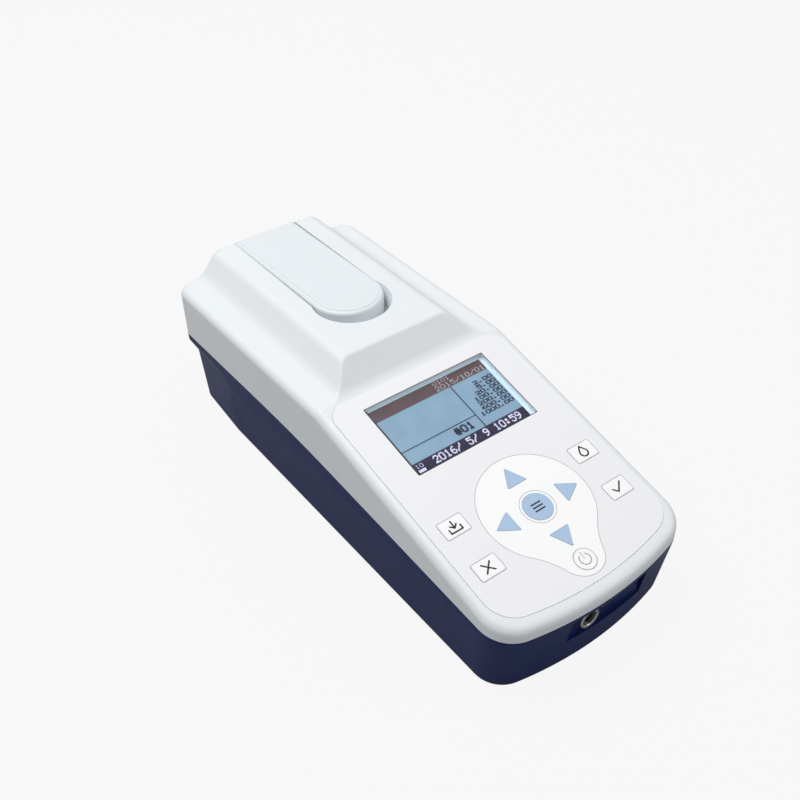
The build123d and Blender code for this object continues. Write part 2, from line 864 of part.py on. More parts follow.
def main_board():
    x = (-board_half_width, board_half_width)
    board = box_between(x, (board_front_y, board_back_y), (board_low_z, board_top_z))
    notch = jack_body_diameter / 2 + board_notch_gap
    back = port_back_y + jack_body_length + board_notch_gap
    board -= box_between((jack_x - notch, jack_x + notch), (-rest_half, back), (0, 50))
    for x, y in standoffs:
        board -= rod(small_screw_diameter / 2, (x, y, 0), (x, y, 50))
    return board


def board_chips():
    # Across, back from the front edge of the board, and height above it.
    chips = [
        ((12, 26), (34, 48), 1.8),
        ((-24, -12), (40, 50), 1.6),
        ((-6, 4), (28, 38), 3.2),
        ((18, 30), (70, 78), 2.4),
        ((-30, -20), (68, 78), 6.0),
    ]
    boxes = []
    for x, run, height in chips:
        y = (board_front_y + run[0], board_front_y + run[1])
        boxes.append(box_between(x, y, (board_top_z, board_top_z + height)))
    return Compound(boxes)


def screw_from_below(x, y, head_z, length, head_height):
    shank = rod(screw_diameter / 2, (x, y, head_z), (x, y, head_z + length))
    head = rod(screw_head_diameter / 2, (x, y, head_z - head_height), (x, y, head_z))
    return shank + head


def case_screws():
    screws = []
    for x, y in case_posts:
        length = parting_height(y) - case_head_depth + post_screw_depth
        screws.append(screw_from_below(x, y, case_head_depth, length, screw_head_height))
    return Compound(screws)


def downward_screw(x, y, seat_z, length, diameter, head_diameter, head_height):
    shank = rod(diameter / 2, (x, y, seat_z - length), (x, y, seat_z))
    head = rod(head_diameter / 2, (x, y, seat_z), (x, y, seat_z + head_height))
    return shank + head


def board_screws():
    size = (board_screw_length, small_screw_diameter, small_head_diameter, small_head_height)
    return Compound([downward_screw(x, y, board_top_z, *size) for x, y in standoffs])


def panel_screws():
    screws = []
    boards = ((keypad_posts, -keypad_drop - keypad_board_thickness), (display_posts, display_board_low))
    for posts, low in boards:
        for x, v in posts:
            shank = panel_rod(x, v, small_screw_diameter / 2, low, -wall - screw_tip_gap)
            head = panel_rod(x, v, small_head_diameter / 2, low - small_head_height, low)
            screws.append(shank + head)
    return Compound(screws)


def optics_screws():
    flange_top = block_low_z + block_flange_thickness
    size = (optics_screw_length, screw_diameter, screw_head_diameter, screw_head_height)
    return Compound([downward_screw(x, y, flange_top, *size) for x, y in block_posts])


def optical_block():
    width = (-block_half, block_half)
    depth = (well_y - block_half, well_y + block_half)
    block = box_between(width, depth, (block_low_z, block_high_z))
    flange = block_half + block_flange_reach
    depth = (well_y - block_flange_half_depth, well_y + block_flange_half_depth)
    block += box_between((-flange, flange), depth, (block_low_z, block_low_z + block_flange_thickness))
    block = fillet(block.edges().filter_by(Axis.Z), block_corner)
    block -= rod(well_outer + seat_gap, (0, well_y, well_floor_z), (0, well_y, 100))
    centre = (0, well_y, beam_z)
    reach = block_half + 2
    for x, y in ((-1, 0), (1, 0), (0, -1)):
        block -= rod(beam_window_diameter / 2, centre, (reach * x, well_y + reach * y, beam_z))
    seat = block_half - detector_length
    block -= beam_rod(detector_diameter / 2, seat, reach)
    block -= rod(detector_diameter / 2, (0, well_y - seat, beam_z), (0, well_y - reach, beam_z))
    block -= beam_rod(lens_diameter / 2, -seat, -reach)
    holder = seat + lens_thickness
    block -= beam_rod(lamp_holder_diameter / 2, -holder, -reach)
    for x, y in block_posts:
        block -= rod(screw_diameter / 2 + screw_hole_gap, (x, y, 0), (x, y, 40))
    return block


def cell_well():
    tube = rod(well_outer, (0, well_y, well_floor_z), (0, well_y, collar_low_z))
    tube -= rod(well_diameter / 2, (0, well_y, well_floor_z + well_foot), (0, well_y, 100))
    centre = (0, well_y, beam_z)
    reach = well_outer + 2
    for x, y in ((-1, 0), (1, 0), (0, -1)):
        tube -= rod(beam_window_diameter / 2, centre, (reach * x, well_y + reach * y, beam_z))
    return tube - cell_spring_form()


def cell_spring_form():
    # A flat leaf let into the wall of the tube, flush with its bore.
    near = well_y + well_diameter / 2 - 0.3
    depth = (near, near + spring_thickness + 0.3)
    half = spring_width / 2
    low = beam_z + spring_above_beam
    return box_between((-half, half), depth, (low, low + spring_length))


def cell_spring():
    leaf = cell_spring_form()
    return leaf - rod(well_diameter / 2, (0, well_y, 0), (0, well_y, 100))


def well_collar():
    ring = rod(collar_diameter / 2, (0, well_y, collar_low_z), (0, well_y, collar_top_z))
    ring -= rod(well_diameter / 2, (0, well_y, 0), (0, well_y, 100))
    return chamfer(ring.edges().group_by(Axis.Z)[-1], collar_edge)


def lamp_holder():
    seat = block_half - detector_length + lens_thickness
    body = beam_rod(lamp_holder_diameter / 2, -block_half, -seat)
    body += beam_rod(lamp_holder_diameter / 2 + lamp_flange, -block_half - lamp_flange, -block_half)
    return body - beam_rod(lamp_diameter / 2, -block_half - past, 0)


def lamp():
    seat = block_half - detector_length + lens_thickness
    start = -seat - lamp_overlap
    body = beam_rod(lamp_diameter / 2, start - lamp_length, start)
    return fillet(body.edges().sort_by(Axis.X)[-1], lamp_diameter / 2 - lamp_tip_flat)


def collimating_lens():
    seat = block_half - detector_length
    return beam_rod(lens_diameter / 2, -seat - lens_thickness, -seat)


def transmitted_detector():
    seat = block_half - detector_length
    return beam_rod(detector_diameter / 2, seat, block_half)


def scatter_detector():
    seat = block_half - detector_length
    return rod(detector_diameter / 2, (0, well_y - seat, beam_z), (0, well_y - block_half, beam_z))


def optics_board():
    near = well_y - block_half
    width = (-optics_board_half_width, optics_board_half_width)
    height = (beam_z - optics_board_below, beam_z + optics_board_above)
    return box_between(width, (near - optics_board_thickness, near), height)


cell_z = door_thickness + cell_door_gap + cell_diameter / 2


def cell_ys():
    start = bay_centre_y - cell_pitch * (cell_count - 1) / 2
    return [start + cell_pitch * n for n in range(cell_count)]


def battery_cells():
    cells = []
    for n, y in enumerate(cell_ys()):
        end = 1 if n % 2 else -1
        shoulder = cell_length / 2 - cell_tip_length
        body = rod(cell_diameter / 2, (-cell_length / 2, y, cell_z), (shoulder, y, cell_z))
        body += rod(cell_tip_diameter / 2, (shoulder, y, cell_z), (cell_length / 2, y, cell_z))
        turned = Pos(0, y, 0) * Rot(0, 0, 0 if end > 0 else 180) * Pos(0, -y, 0) * body
        cells.append(turned)
    return Compound(cells)


def battery_contacts():
    # A plate at each end of each cell, with a cone spring that reaches the cell.
    plates = []
    wall_x = cell_length / 2 + bay_end_space
    for y in cell_ys():
        for s in (-1, 1):
            x = sorted((s * wall_x, s * (wall_x - contact_thickness)))
            width = (y - contact_width / 2, y + contact_width / 2)
            height = (cell_z - contact_height / 2, cell_z + contact_height / 2)
            plate = box_between(x, width, height)
            reach = bay_end_space - contact_thickness - spring_tip_gap
            seat = (Align.CENTER, Align.CENTER, Align.MIN)
            cone = Cone(spring_base_radius, spring_tip_radius, reach, align=seat)
            base = Plane(origin=(s * (wall_x - contact_thickness), y, cell_z), z_dir=(-s, 0, 0)).location
            plates.append(plate + base * cone)
    return Compound(plates)


def battery_door():
    door = door_box(0, 0, door_thickness)
    door = fillet(door.edges().filter_by(Axis.Z), door_corner)
    door -= rod(screw_diameter / 2 + screw_hole_gap, (0, door_screw_y, -1), (0, door_screw_y, 5))
    head = screw_head_diameter / 2 + head_hole_gap
    return door - rod(head, (0, door_screw_y, -1), (0, door_screw_y, door_head_depth))


def door_screw():
    length = wall + door_boss_height - 2 * screw_diameter
    return screw_from_below(0, door_screw_y, door_head_depth, length, door_head_height)


def dc_jack_body():
    # Socket body behind the wall, with a sleeve through it and a centre pin.
    back = port_back_y + jack_body_length
    body = port_rod(jack_body_diameter / 2, jack_x, port_back_y, back)
    body += port_rod(jack_sleeve_radius, jack_x, recess_y - jack_sleeve_proud, port_back_y)
    return body - port_rod(jack_bore / 2, jack_x, recess_y - past, back - jack_back_wall)


def dc_jack_pin():
    back = port_back_y + jack_body_length - jack_back_wall
    pin = port_rod(jack_pin_diameter / 2, jack_x, recess_y + jack_pin_set_back, back)
    leaf = port_rod(jack_bore / 2, jack_x, recess_y + jack_leaf_set_back, back)
    leaf -= port_rod(jack_bore / 2 - jack_leaf_thickness, jack_x, recess_y - past, back + past)
    height = (port_z - jack_leaf_half_height, port_z + jack_leaf_half_height)
    near = jack_x + 0.6 * jack_pin_diameter
    leaf = leaf & box_between((near, jack_x + jack_bore), (recess_y - past, back), height)
    return Compound([pin, leaf])


def dc_jack_nut():
    nut = port_rod(jack_nut_diameter / 2, jack_x, recess_y - jack_nut_height, recess_y)
    nut -= port_rod(jack_sleeve_radius, jack_x, recess_y - past, recess_y + past)
    return chamfer(nut.edges().group_by(Axis.Y)[0], nut_edge)


def usb_socket():
    half_x = usb_width / 2
    half_z = usb_height / 2
    y = (recess_y + usb_set_back, recess_y + usb_set_back + usb_length)
    shell = box_between((usb_x - half_x, usb_x + half_x), y, (port_z - half_z, port_z + half_z))
    shell = chamfer(shell.edges().filter_by(Axis.Y).group_by(Axis.Z)[0], usb_corner)
    inner_x = half_x - usb_shell
    inner_z = half_z - usb_shell
    inside = (usb_x - inner_x, usb_x + inner_x)
    hole = box_between(inside, (y[0] - 1, y[1] - 1), (port_z - inner_z, port_z + inner_z))
    hole = chamfer(hole.edges().filter_by(Axis.Y).group_by(Axis.Z)[0], 0.9 * usb_corner)
    return shell - hole


def usb_tongue():
    y = (recess_y + usb_set_back + usb_tongue_set_back, recess_y + usb_set_back + usb_length - 1)
    width = (usb_x - usb_tongue_half_width, usb_x + usb_tongue_half_width)
    return box_between(width, y, (port_z, port_z + usb_tongue_thickness))


def light_pipe():
    start = recess_y + light_pipe_set_back
    return port_rod(light_pipe_diameter / 2, light_pipe_x, start, port_back_y + light_pipe_tail)


def rubber_feet():
    feet = []
    for x, y in foot_places():
        foot = rod(foot_diameter / 2, (x, y, -foot_drop), (x, y, foot_sink))
        feet.append(fillet(foot.edges().sort_by(Axis.Z)[0], foot_edge))
    return Compound(feet)


def all_parts():
    makers = [
        upper_case, lower_case, case_gasket, sample_lid, lid_hinge_pin, lid_light_seal, panel_overlay,
        keypad_board, keypad_domes, display_window, display_frame, display_glass, display_backlight,
        display_board, link_connectors, link_ribbon, main_board, board_chips, case_screws, board_screws,
        panel_screws, optics_screws, optical_block, cell_well, cell_spring, well_collar, lamp_holder, lamp,
        collimating_lens, transmitted_detector, scatter_detector, optics_board, battery_cells,
        battery_contacts, battery_door, door_screw, dc_jack_body, dc_jack_pin, dc_jack_nut, usb_socket,
        usb_tongue, light_pipe, rubber_feet,
    ]
    parts = {maker.__name__: maker() for maker in makers}
    for name, face, centre in key_list(0):
        parts[name] = key_solid(face, centre)
    return parts


os.makedirs("parts", exist_ok=True)
for name, shape in all_parts().items():
    export_step(Pos(0, 0, foot_drop) * shape, f"parts/{name}.step")
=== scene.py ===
import bpy
import json
import numpy as np
from math import cos, pi, radians, sin, sqrt, tan
from mathutils import Matrix, Vector


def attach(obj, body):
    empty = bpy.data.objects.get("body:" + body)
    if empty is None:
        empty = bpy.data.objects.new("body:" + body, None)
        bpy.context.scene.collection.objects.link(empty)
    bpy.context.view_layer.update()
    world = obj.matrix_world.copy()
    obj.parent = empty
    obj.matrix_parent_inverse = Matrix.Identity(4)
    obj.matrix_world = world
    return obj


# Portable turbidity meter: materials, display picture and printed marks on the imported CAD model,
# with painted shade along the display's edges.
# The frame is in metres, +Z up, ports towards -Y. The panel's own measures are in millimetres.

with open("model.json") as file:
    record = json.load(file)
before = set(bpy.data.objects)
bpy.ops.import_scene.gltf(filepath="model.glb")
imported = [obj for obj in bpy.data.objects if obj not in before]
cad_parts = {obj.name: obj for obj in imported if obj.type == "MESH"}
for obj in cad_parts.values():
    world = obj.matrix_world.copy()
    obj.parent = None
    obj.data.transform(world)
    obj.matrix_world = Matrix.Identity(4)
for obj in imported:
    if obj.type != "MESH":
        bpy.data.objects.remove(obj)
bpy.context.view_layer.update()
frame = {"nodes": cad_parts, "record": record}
nodes = frame["nodes"]
print("loaded", len(nodes), "CAD nodes")

view = {
    "azimuth": -39.299,
    "elevation": 42.710,
    "roll": -0.996,
    "distance": 0.524923,
    "target": (0.0, -0.025, 0.046),
    "focalPixels": 1023.658,
    "centrePixels": (444.763, 445.190),
    "imagePixels": 800,
}


def makeCamera(values):
    turn = radians(values["azimuth"])
    rise = radians(values["elevation"])
    roll = radians(values["roll"])
    back = Vector((sin(turn) * cos(rise), -cos(turn) * cos(rise), sin(rise)))
    level = Vector((cos(turn), sin(turn), 0))
    upward = back.cross(level)
    right = level * cos(roll) - upward * sin(roll)
    up = level * sin(roll) + upward * cos(roll)
    data = bpy.data.cameras.new("camera")
    data.sensor_width = 36
    data.lens = 36 * values["focalPixels"] / values["imagePixels"]
    data.shift_x = 0.5 - values["centrePixels"][0] / values["imagePixels"]
    data.shift_y = values["centrePixels"][1] / values["imagePixels"] - 0.5
    made = bpy.data.objects.new("camera", data)
    made.matrix_world = Matrix((right, up, back)).transposed().to_4x4()
    made.location = Vector(values["target"]) + back * values["distance"]
    bpy.context.scene.collection.objects.link(made)
    bpy.context.scene.camera = made


makeCamera(view)
print("camera placed")


class Wire:
    # A number, colour or vector on its way through the nodes of one material.
    def __init__(self, tree, socket):
        self.tree = tree
        self.socket = socket

    def node(self, kind, inputs, output=0, **settings):
        made = self.tree.nodes.new(kind)
        for key, value in settings.items():
            setattr(made, key, value)
        for key, value in inputs.items():
            if isinstance(value, Wire):
                self.tree.links.new(value.socket, made.inputs[key])
            else:
                made.inputs[key].default_value = value
        return Wire(self.tree, made.outputs[output])

    def calculate(self, operation, *values):
        return self.node("ShaderNodeMath", dict(enumerate(values)), operation=operation)

    def __add__(self, other):
        return self.calculate("ADD", self, other)

    def __radd__(self, other):
        return self.calculate("ADD", other, self)

    def __sub__(self, other):
        return self.calculate("SUBTRACT", self, other)

    def __rsub__(self, other):
        return self.calculate("SUBTRACT", other, self)

    def __mul__(self, other):
        return self.calculate("MULTIPLY", self, other)

    def __rmul__(self, other):
        return self.calculate("MULTIPLY", other, self)

    def __lt__(self, other):
        return self.calculate("LESS_THAN", self, other)

    def __gt__(self, other):
        return self.calculate("GREATER_THAN", self, other)

    def larger(self, other):
        return self.calculate("MAXIMUM", self, other)

    def root(self):
        return self.calculate("SQRT", self)

    def part(self, axis):
        return self.node("ShaderNodeSeparateXYZ", {0: self}, axis)

    def noise(self, size, detail=2.0):
        values = {"Vector": self, "Scale": 1 / size, "Detail": detail}
        return self.node("ShaderNodeTexNoise", values)

    def mix(self, first, second):
        return self.node("ShaderNodeMix", {0: self, 6: first, 7: second}, 2, data_type="RGBA")

    def bump(self, depth, strength=1.0):
        values = {"Height": self, "Distance": depth, "Strength": strength}
        return self.node("ShaderNodeBump", values)


# How far the gloss wanders over each kind of surface, how dark and bright its colour gets, and
# how many metres its clouds measure.
gloss = {"plastic": 0.12, "metal": 0.2, "glass": 0.02, "film": 0.08, "display": 0.05, "ink": 0.1}
shades = {"metal": (0.82, 1.08), "display": (0.94, 1.04), "ink": (0.94, 1.06), "lit": (0.85, 1.15)}
clouds = {"glass": 0.02, "film": 0.03, "display": 0.02, "ink": 0.004, "lit": 0.012}


def tint(colour, factor):
    return tuple(min(1, channel * factor) for channel in colour[:3]) + (1,)


def cloudy(cloud, colour, factors):
    return cloud.mix(tint(colour, factors[0]), tint(colour, factors[1]))


def material(name, paint, **fixed):
    made = bpy.data.materials.new(name)
    made.use_nodes = True
    tree = made.node_tree
    shader = tree.nodes["Principled BSDF"]
    place = Wire(tree, tree.nodes.new("ShaderNodeTexCoord").outputs["Object"])
    for key, value in {**fixed, **paint(place)}.items():
        if isinstance(value, Wire):
            tree.links.new(value.socket, shader.inputs[key])
        else:
            shader.inputs[key].default_value = value
    return made


def moulded(look):
    # Fine spark-eroded grain, a slight cloudiness of the colour and of the gloss.
    def paint(place):
        cloud = place.noise(look["cloud"], 3)
        grain = place.noise(look["grain"], 3)
        return {
            "Base Color": cloudy(cloud, look["colour"], (1 - look["mottle"], 1 + look["mottle"])),
            "Roughness": look["roughness"] + (cloud - 0.5) * gloss["plastic"],
            "Normal": grain.bump(look["depth"]),
        }

    return paint


def metal(look):
    # Fine drawn lines along one axis, with their own gloss.
    def paint(place):
        stretched = place.node("ShaderNodeMapping", {"Vector": place, "Scale": look["stretch"]})
        lines = stretched.noise(look["grain"], 4)
        return {
            "Base Color": cloudy(lines, look["colour"], shades["metal"]),
            "Roughness": look["roughness"] + (lines - 0.5) * gloss["metal"],
            "Normal": lines.bump(look["depth"]),
        }

    return paint


plastics = {
    "shell_white": {
        "colour": (0.80, 0.835, 0.862), "roughness": 0.42,
        "grain": 0.00045, "depth": 0.000012, "cloud": 0.03, "mottle": 0.012,
    },
    "lid_white": {
        "colour": (0.765, 0.81, 0.835), "roughness": 0.40,
        "grain": 0.00045, "depth": 0.000012, "cloud": 0.02, "mottle": 0.012,
    },
    "case_blue": {
        "colour": (0.010, 0.022, 0.105), "roughness": 0.34,
        "grain": 0.0006, "depth": 0.000022, "cloud": 0.02, "mottle": 0.06,
    },
    "key_blue": {
        "colour": (0.42, 0.57, 0.77), "roughness": 0.34,
        "grain": 0.0006, "depth": 0.000006, "cloud": 0.01, "mottle": 0.02,
    },
    "key_white": {
        "colour": (0.97, 0.975, 0.985), "roughness": 0.34,
        "grain": 0.0006, "depth": 0.000006, "cloud": 0.01, "mottle": 0.01,
    },
    "board_green": {
        "colour": (0.02, 0.16, 0.07), "roughness": 0.35,
        "grain": 0.002, "depth": 0.00003, "cloud": 0.004, "mottle": 0.25,
    },
    "frame_black": {
        "colour": (0.02, 0.02, 0.022), "roughness": 0.5,
        "grain": 0.0005, "depth": 0.00001, "cloud": 0.01, "mottle": 0.1,
    },
    "backlight_white": {
        "colour": (0.85, 0.86, 0.88), "roughness": 0.6,
        "grain": 0.0008, "depth": 0.00001, "cloud": 0.01, "mottle": 0.02,
    },
    "connector_black": {
        "colour": (0.018, 0.018, 0.022), "roughness": 0.42,
        "grain": 0.0004, "depth": 0.000012, "cloud": 0.006, "mottle": 0.12,
    },
    "ribbon_grey": {
        "colour": (0.45, 0.46, 0.48), "roughness": 0.5,
        "grain": 0.0012, "depth": 0.0001, "cloud": 0.004, "mottle": 0.05,
    },
    "chip_black": {
        "colour": (0.02, 0.02, 0.02), "roughness": 0.55,
        "grain": 0.0005, "depth": 0.00002, "cloud": 0.006, "mottle": 0.1,
    },
    "optics_black": {
        "colour": (0.012, 0.012, 0.013), "roughness": 0.55,
        "grain": 0.0006, "depth": 0.00002, "cloud": 0.01, "mottle": 0.15,
    },
    "cell_wrap": {
        "colour": (0.08, 0.26, 0.14), "roughness": 0.3,
        "grain": 0.001, "depth": 0.00001, "cloud": 0.012, "mottle": 0.1,
    },
    "rubber_black": {
        "colour": (0.02, 0.02, 0.021), "roughness": 0.8,
        "grain": 0.0005, "depth": 0.00004, "cloud": 0.006, "mottle": 0.2,
    },
    "gasket_black": {
        "colour": (0.02, 0.02, 0.022), "roughness": 0.75,
        "grain": 0.0005, "depth": 0.00003, "cloud": 0.006, "mottle": 0.15,
    },
    "foam_black": {
        "colour": (0.02, 0.02, 0.02), "roughness": 0.95,
        "grain": 0.0003, "depth": 0.0001, "cloud": 0.004, "mottle": 0.3,
    },
}
metals = {
    "steel": {
        "colour": (0.62, 0.62, 0.63), "roughness": 0.28,
        "grain": 0.0006, "depth": 0.000008, "stretch": (1, 1, 6),
    },
    "dome_steel": {
        "colour": (0.68, 0.68, 0.68), "roughness": 0.25,
        "grain": 0.0006, "depth": 0.000005, "stretch": (1, 4, 1),
    },
    "holder_aluminium": {
        "colour": (0.74, 0.75, 0.76), "roughness": 0.35,
        "grain": 0.0006, "depth": 0.000008, "stretch": (6, 1, 1),
    },
    "detector_can": {
        "colour": (0.70, 0.69, 0.66), "roughness": 0.2,
        "grain": 0.001, "depth": 0.000004, "stretch": (1, 1, 1),
    },
    "contact_nickel": {
        "colour": (0.66, 0.65, 0.61), "roughness": 0.26,
        "grain": 0.0008, "depth": 0.000008, "stretch": (1, 5, 1),
    },
    "contact_brass": {
        "colour": (0.66, 0.50, 0.20), "roughness": 0.28,
        "grain": 0.0008, "depth": 0.000008, "stretch": (1, 5, 1),
    },
}
glasses = {
    "window_clear": {"colour": (0.96, 0.98, 1.0), "roughness": 0.03, "ior": 1.35},
    "lamp_clear": {"colour": (0.95, 0.95, 0.97), "roughness": 0.05, "ior": 1.5},
    "lens_glass": {"colour": (0.96, 0.98, 1.0), "roughness": 0.02, "ior": 1.52},
}


def clearGlass(name, look):
    # Light reaches what lies behind without the dark shadow that a solid pane would throw.
    def paint(place):
        return {"Roughness": look["roughness"] + place.noise(clouds["glass"], 3) * gloss["glass"]}

    colour = look["colour"] + (1,)
    fixed = {"Base Color": colour, "Transmission Weight": 1, "IOR": look["ior"]}
    made = material(name, paint, **fixed)
    tree = made.node_tree
    start = Wire(tree, tree.nodes["Principled BSDF"].outputs[0])
    shadow = start.node("ShaderNodeLightPath", {}, "Is Shadow Ray")
    through = start.node("ShaderNodeBsdfTransparent", {"Color": colour})
    mixed = start.node("ShaderNodeMixShader", {0: shadow, 1: start, 2: through})
    tree.links.new(mixed.socket, tree.nodes["Material Output"].inputs["Surface"])
    return made


shine = {"case_blue": 0.15, "shell_white": 0.4, "lid_white": 0.4}
finishes = {
    name: material(name, moulded(look), **{"Specular IOR Level": shine.get(name, 0.5)})
    for name, look in plastics.items()
}
finishes.update({name: material(name, metal(look), Metallic=1) for name, look in metals.items()})
finishes.update({name: clearGlass(name, look) for name, look in glasses.items()})
print("made", len(finishes), "finishes")

# The panel: x across, v up the slope from its front edge, w out of it, in millimetres.
panel = {
    "angle": 13.0,
    "frontY": -145.0,
    "frontZ": 45.8,
    "filmTop": 0.2,
    "keyTop": 0.35,
    "ink": 0.02,
}
panelCos = cos(radians(panel["angle"]))
panelSin = sin(radians(panel["angle"]))


def onPanel(points):
    x, v, w = np.moveaxis(points, -1, 0)
    y = panel["frontY"] + v * panelCos - w * panelSin
    z = panel["frontZ"] + v * panelSin + w * panelCos
    return np.stack((x, y, z), -1) / 1000


# The white field round the arrow keys: a large and a small circle, joined by two hollow flanks.
field = {"large": (53.0, 29.3), "small": (22.2, 12.0), "hollow": 40.0}
largeV, largeR = field["large"]
smallV, smallR = field["small"]
hollow = field["hollow"]
span = largeV - smallV
hollowV = smallV + (span**2 + (smallR + hollow) ** 2 - (largeR + hollow) ** 2) / (2 * span)
hollowX = sqrt((smallR + hollow) ** 2 - (hollowV - smallV) ** 2)
upperJoin = largeV + (hollowV - largeV) * largeR / (largeR + hollow)
lowerJoin = smallV + (hollowV - smallV) * smallR / (smallR + hollow)

film = {
    "colour": (0.88, 0.885, 0.91),
    "field": (0.975, 0.98, 0.985),
    "roughness": 0.32,
    "grain": 0.0007,
    "depth": 0.000008,
}


def filmPaint(place):
    x = place.part(0) * 1000
    back = place.part(1) * 1000 - panel["frontY"]
    up = place.part(2) * 1000 - panel["frontZ"]
    v = back * panelCos + up * panelSin
    side = x.calculate("ABSOLUTE", x)
    inLarge = (x * x + (v - largeV) * (v - largeV)).root() < largeR
    inSmall = (x * x + (v - smallV) * (v - smallV)).root() < smallR
    across = hollowX - (hollow**2 - (v - hollowV) * (v - hollowV)).larger(0).root()
    between = (side < across) * (v > lowerJoin) * (v < upperJoin)
    inside = inLarge.larger(inSmall).larger(between)
    cloud = place.noise(clouds["film"], 3)
    return {
        "Base Color": inside.mix(tint(film["colour"], 1), tint(film["field"], 1)),
        "Roughness": film["roughness"] + (cloud - 0.5) * gloss["film"],
        "Normal": place.noise(film["grain"], 2).bump(film["depth"]),
    }


finishes["overlay_film"] = material("overlay_film", filmPaint)

screen = {"glass": (0.50, 0.62, 0.70), "roughness": 0.25, "glow": 0.35}


def screenPaint(place):
    cloud = place.noise(clouds["display"], 2)
    return {
        "Base Color": cloudy(cloud, screen["glass"], shades["display"]),
        "Roughness": screen["roughness"] + cloud * gloss["display"],
    }


glow = {"Emission Color": screen["glass"] + (1,), "Emission Strength": screen["glow"]}
finishes["display_panel"] = material("display_panel", screenPaint, **glow)
for part in frame["record"]["subparts"]:
    for socket in nodes[part["node"]].material_slots:
        socket.material = finishes[part["material_slot"]]
print("materials on the CAD nodes")


def prisms(outlines, low, high):
    # Outlines of n corners each, counterclockwise seen from above, raised from low to high.
    # Corner j of outline i is vertex 2ni + j at the bottom and 2ni + n + j at the top.
    count, corners = outlines.shape[:2]
    levels = np.broadcast_to(np.array([low, high])[None, :, None, None], (count, 2, corners, 1))
    flat = np.broadcast_to(outlines[:, None], (count, 2, corners, 2))
    vertices = np.concatenate((flat, levels), -1).reshape(-1, 3)
    first = 2 * corners * np.arange(count)[:, None]
    ring = np.arange(corners)
    after = (ring + 1) % corners
    walls = first[:, :, None] + np.stack((ring, after, corners + after, corners + ring), -1)[None]
    bottoms = (first + ring[::-1]).tolist()
    tops = (first + corners + ring).tolist()
    return vertices, bottoms + tops + walls.reshape(-1, 4).tolist()


def ribbon(path, width, low, high):
    # A closed path carries a rectangle: half the width to each side along its normal, low and high.
    step = np.roll(path, -1, 0) - np.roll(path, 1, 0)
    length = np.linalg.norm(step, axis=1, keepdims=True)
    side = np.stack((step[:, 1], -step[:, 0]), -1) / length * width / 2
    count = len(path)
    flat = np.stack((path + side, path + side, path - side, path - side), 1)
    levels = np.broadcast_to(np.array([low, high, high, low])[None, :, None], (count, 4, 1))
    vertices = np.concatenate((flat, levels), -1).reshape(-1, 3)
    here = 4 * np.arange(count)[:, None]
    there = np.roll(here, -1, 0)
    corner = np.arange(4)[None]
    after = (corner + 1) % 4
    faces = np.stack((here + corner, there + corner, there + after, here + after), -1)
    return vertices, faces.reshape(-1, 4).tolist()


def arc(centre, radius, start, end, count=48):
    # Points at the radius from the centre, from one angle to the other, in degrees.
    angles = np.radians(np.linspace(start, end, count))
    return np.array(centre) + radius * np.stack((np.cos(angles), np.sin(angles)), -1)


def fieldPath():
    turn = np.degrees(np.arctan2(largeV - hollowV, hollowX))
    fall = np.degrees(np.arctan2(smallV - hollowV, hollowX))
    return np.concatenate((
        arc((0, largeV), largeR, -turn, 180 + turn, 120),
        arc((-hollowX, hollowV), hollow, turn, fall, 40)[1:-1],
        arc((0, smallV), smallR, 180 + fall, 360 - fall, 60),
        arc((hollowX, hollowV), hollow, 180 - fall, 180 - turn, 40)[1:-1],
    ))


def roundedPath(centre, width, height, radius):
    # Four quarter circles about the corners' centres, joined by straight sides.
    x, v = width / 2 - radius, height / 2 - radius
    corners = ((x, v, 0), (-x, v, 90), (-x, -v, 180), (x, -v, 270))
    return np.concatenate([
        arc((centre[0] + dx, centre[1] + dv), radius, start, start + 90, 8)
        for dx, dv, start in corners
    ])


def strokes(lines, centre, width):
    # Round-ended strokes: a half circle about each end, turned to the stroke's own direction.
    lines = np.array(lines, float) + np.array(centre)
    along = lines[:, 1] - lines[:, 0]
    heading = np.arctan2(along[:, 1], along[:, 0])[:, None]
    half = np.linspace(-pi / 2, pi / 2, 9)
    turns = np.concatenate((half, half + pi))[None] + heading
    ends = np.repeat(lines[:, ::-1], 9, axis=1)
    return ends + width / 2 * np.stack((np.cos(turns), np.sin(turns)), -1)


def bent(points):
    return list(zip(points[:-1], points[1:]))


# Each row of a digit is five dots, as the bits of one number; seven rows from the top.
dots = {
    " ": (0, 0, 0, 0, 0, 0, 0),
    "#": (10, 10, 31, 10, 31, 10, 10),
    ".": (0, 0, 0, 0, 0, 12, 12),
    "/": (1, 1, 2, 4, 8, 16, 16),
    ":": (0, 12, 12, 0, 12, 12, 0),
    "0": (14, 17, 17, 17, 17, 17, 14),
    "1": (4, 12, 4, 4, 4, 4, 14),
    "2": (14, 17, 1, 2, 4, 8, 31),
    "3": (31, 2, 4, 2, 1, 17, 14),
    "4": (2, 6, 10, 18, 31, 2, 2),
    "5": (31, 16, 30, 1, 1, 17, 14),
    "6": (6, 8, 16, 30, 17, 17, 14),
    "7": (31, 1, 2, 4, 8, 8, 8),
    "8": (14, 17, 17, 14, 17, 17, 14),
    "9": (14, 17, 17, 15, 1, 2, 12),
}


def dotMatrix(text, left, low, pitch, height, weight):
    # Dot (row r, column c) of digit i is a square, whose low left corner lies at
    # left + i pitch + c pitch/6 and low + (6 - r) height/7.
    rows = np.array([dots[letter] for letter in text])
    lit = np.argwhere((rows[:, :, None] >> np.arange(4, -1, -1)) & 1)
    stepX, stepV = pitch / 6, height / 7
    x = left + lit[:, 0] * pitch + lit[:, 2] * stepX
    v = low + (6 - lit[:, 1]) * stepV
    corner = np.stack((x, v), -1)
    size = np.array((stepX, stepV)) * weight
    square = np.array(((0, 0), (1, 0), (1, 1), (0, 1)))
    return corner[:, None] + square[None] * size


